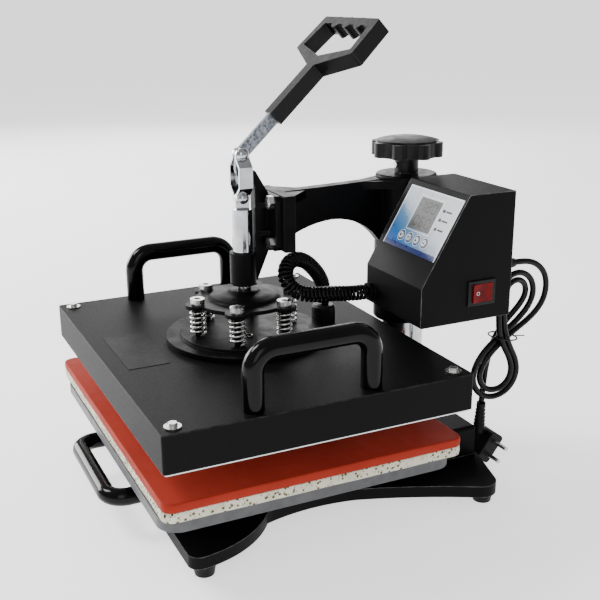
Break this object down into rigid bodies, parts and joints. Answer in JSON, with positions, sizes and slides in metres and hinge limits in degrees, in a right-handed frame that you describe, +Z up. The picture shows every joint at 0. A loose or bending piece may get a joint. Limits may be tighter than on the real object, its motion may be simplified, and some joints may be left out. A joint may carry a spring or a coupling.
{
  "type": "heat press",
  "caption": "Swing-away flat heat press: sprung platen on a toggle-lever ram, arm turning on a post, padded bed, star height knob, slanted control box and carry handles.",
  "frame": {"origin": "centre of the machine's footprint on the table, leaving out the free mains cord and plug", "axes": "+Z up, +Y away from the operator (towards the post), +X to the operator's right (the control box side)"},
  "size_m": [0.387, 0.4648, 0.4644],
  "materials": {
    "black_powder_coat": "satin black powder coat, fine texture",
    "black_casting": "semi-gloss black enamel on a casting",
    "gloss_black_tube": "gloss black enamel on tube",
    "black_rubber": "matt",
    "chrome_steel": "bright chrome",
    "zinc_steel": "zinc plated",
    "spring_steel": "bright zinc",
    "steel_bar": "sandblasted, lacquered",
    "bed_aluminium": "grey coated",
    "plate_aluminium": "machined",
    "bronze": "oiled",
    "red_silicone": "matt silicone rubber",
    "ivory_foam": "open-cell silicone foam with dark specks",
    "black_plastic": "moulded, semi-matt",
    "ceramic_wool": "compressed wool",
    "overlay_film": "printed film, silver running to blue",
    "lcd_glass": "grey liquid-crystal window",
    "led_lens": "red lens",
    "button_white": "light cap",
    "switch_red": "translucent red",
    "circuit_board": "green solder mask",
    "pale_label": "plain dark data plate"
  },
  "bodies": {
    "base": {"base_plate": "black_powder_coat", "rubber_feet": "black_rubber", "pedestal": "black_powder_coat", "front_handle": "gloss_black_tube", "bed_plate": "bed_aluminium", "foam_pad": "ivory_foam", "silicone_pad": "red_silicone", "post": "chrome_steel", "post_bolts": "zinc_steel", "post_nut": "bronze"},
    "lift": {"thrust_collar": "zinc_steel"},
    "knob": {"star_knob": "black_plastic", "lift_screw": "zinc_steel", "knob_set_screw": "chrome_steel"},
    "arm": {"swing_arm": "black_casting", "sleeve_bushes": "bronze", "head_casting": "black_casting", "head_bolts": "zinc_steel", "fork_pin": "chrome_steel", "box_shell": "black_powder_coat", "box_back_cover": "black_powder_coat", "box_screws": "zinc_steel", "box_bracket": "black_casting", "control_overlay": "overlay_film", "lcd_window": "lcd_glass", "indicator_leds": "led_lens", "control_board": "circuit_board", "switch_frame": "black_plastic", "curly_gland": "black_plastic", "mains_gland": "black_rubber", "curly_cord": "black_rubber", "mains_cord": "black_rubber", "plug": "black_rubber", "plug_pins": "zinc_steel", "cord_tie": "black_plastic"},
    "rocker": {"power_rocker": "switch_red"},
    "handle": {"lever_bar": "steel_bar", "hand_grip": "black_plastic"},
    "links": {"link_plate_right": "chrome_steel", "link_plate_left": "chrome_steel", "upper_link_pin": "chrome_steel", "lower_link_pins": "chrome_steel"},
    "plunger": {"ram": "chrome_steel", "spider_plate": "black_casting"},
    "platen": {"platen_cover": "black_powder_coat", "heating_plate": "plate_aluminium", "insulation_blanket": "ceramic_wool", "pressure_disc": "black_casting", "shoulder_screws": "zinc_steel", "platen_springs": "spring_steel", "cover_screws": "zinc_steel", "side_handle_left": "gloss_black_tube", "side_handle_right": "gloss_black_tube", "cable_socket": "black_plastic", "data_plate": "pale_label"},
    "button_1": {"button_1": "button_white"},
    "button_2": {"button_2": "button_white"},
    "button_3": {"button_3": "button_white"},
    "button_4": {"button_4": "button_white"}
  },
  "joints": [
    {"name": "height_adjust", "type": "slide", "parent": "base", "child": "lift", "axis": [0, 0, 1], "range_m": [0, 0.008]},
    {"name": "arm_swing", "type": "hinge", "parent": "lift", "child": "arm", "pos_m": [0.00338, 0.15434, 0.2], "axis": [0, 0, 1], "range_deg": [0, 95]},
    {"name": "knob_turn", "type": "hinge", "parent": "lift", "child": "knob", "pos_m": [0.00338, 0.15434, 0.324], "axis": [0, 0, 1], "range_deg": [0, 1440]},
    {"name": "lever_turn", "type": "hinge", "parent": "arm", "child": "handle", "pos_m": [0.00338, -0.03366, 0.32325], "axis": [1, 0, 0], "range_deg": [0, 180]},
    {"name": "link_turn", "type": "hinge", "parent": "handle", "child": "links", "pos_m": [0.00338, -0.03366, 0.3385], "axis": [1, 0, 0], "range_deg": [-180, 0]},
    {"name": "ram_slide", "type": "slide", "parent": "arm", "child": "plunger", "axis": [0, 0, -1], "range_m": [0, 0.0305], "deforming": ["curly_cord"]},
    {"name": "platen_float", "type": "slide", "parent": "plunger", "child": "platen", "axis": [0, 0, 1], "range_m": [0, 0.004], "stiffness_N_per_m": 18000, "springref_m": -0.003, "deforming": ["platen_springs"]},
    {"name": "power_rock", "type": "hinge", "parent": "arm", "child": "rocker", "pos_m": [0.14588, 0.15334, 0.2125], "axis": [0, 0, 1], "range_deg": [-8, 0]},
    {"name": "button_1_press", "type": "slide", "parent": "arm", "child": "button_1", "axis": [0, 0.8593, -0.5115], "range_m": [0, 0.0008], "stiffness_N_per_m": 300},
    {"name": "button_2_press", "type": "slide", "parent": "arm", "child": "button_2", "axis": [0, 0.8593, -0.5115], "range_m": [0, 0.0008], "stiffness_N_per_m": 300},
    {"name": "button_3_press", "type": "slide", "parent": "arm", "child": "button_3", "axis": [0, 0.8593, -0.5115], "range_m": [0, 0.0008], "stiffness_N_per_m": 300},
    {"name": "button_4_press", "type": "slide", "parent": "arm", "child": "button_4", "axis": [0, 0.8593, -0.5115], "range_m": [0, 0.0008], "stiffness_N_per_m": 300}
  ],
  "couplings": [
    {"joint": "knob_turn", "follows": "height_adjust", "rad_per_m": 3141.6},
    {"joint": "ram_slide", "follows": "lever_turn", "m_per_rad": 0.0097085},
    {"joint": "link_turn", "follows": "lever_turn", "ratio": -1}
  ]
}
